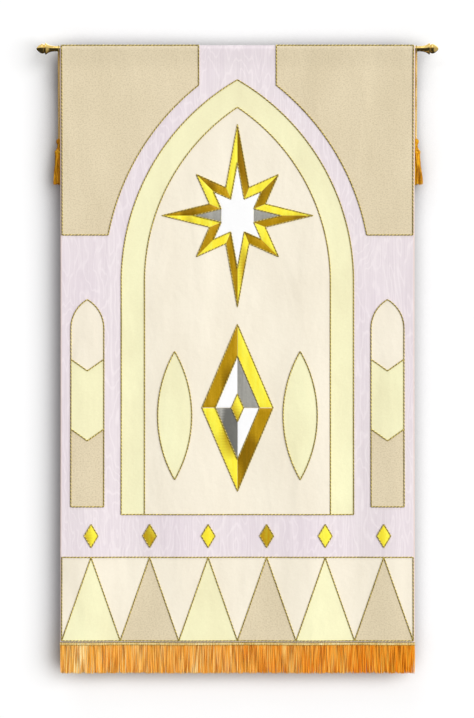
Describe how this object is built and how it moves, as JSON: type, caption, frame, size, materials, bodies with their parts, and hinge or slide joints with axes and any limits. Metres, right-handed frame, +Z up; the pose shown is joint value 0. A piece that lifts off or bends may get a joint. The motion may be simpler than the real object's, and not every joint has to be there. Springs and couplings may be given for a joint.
{
  "type": "church banner with fringe and tassels on a brass rod",
  "caption": "Tall flat cloth banner that hangs from a straight brass rod with acorn finials, with bullion fringe along its lower hem and a corded tassel behind each side edge.",
  "frame": {"origin": "on the rod's axis, halfway along the rod", "axes": "X along the rod, -Y out of the front of the cloth, +Z up"},
  "size_m": [1.0354, 0.0539, 1.6263],
  "materials": {
    "brass": "polished, a little worn",
    "moire_cloth": "pale lilac-white watered silk",
    "fringe_yarn": "glossy twisted rayon",
    "gold_cord": "metallic twisted cord",
    "tassel_yarn": "glossy twisted rayon",
    "cream_satin": "cream satin patch",
    "beige_brocade": "beige brocade patch with a fine woven speckle",
    "pale_yellow_satin": "pale yellow satin patch",
    "gold_lame": "padded gold metallic cloth patch",
    "white_satin": "padded white satin patch",
    "silver_lame": "padded silver metallic cloth patch"
  },
  "bodies": {
    "root": {"rod": "brass", "finial_left": "brass", "finial_right": "brass", "banner_cloth": "moire_cloth", "fringe": "fringe_yarn", "cord_loop_left": "gold_cord", "cord_loop_right": "gold_cord", "tassel_cord_left": "gold_cord", "tassel_cord_right": "gold_cord", "tassel_left": "tassel_yarn", "tassel_right": "tassel_yarn"}
  },
  "joints": []
}
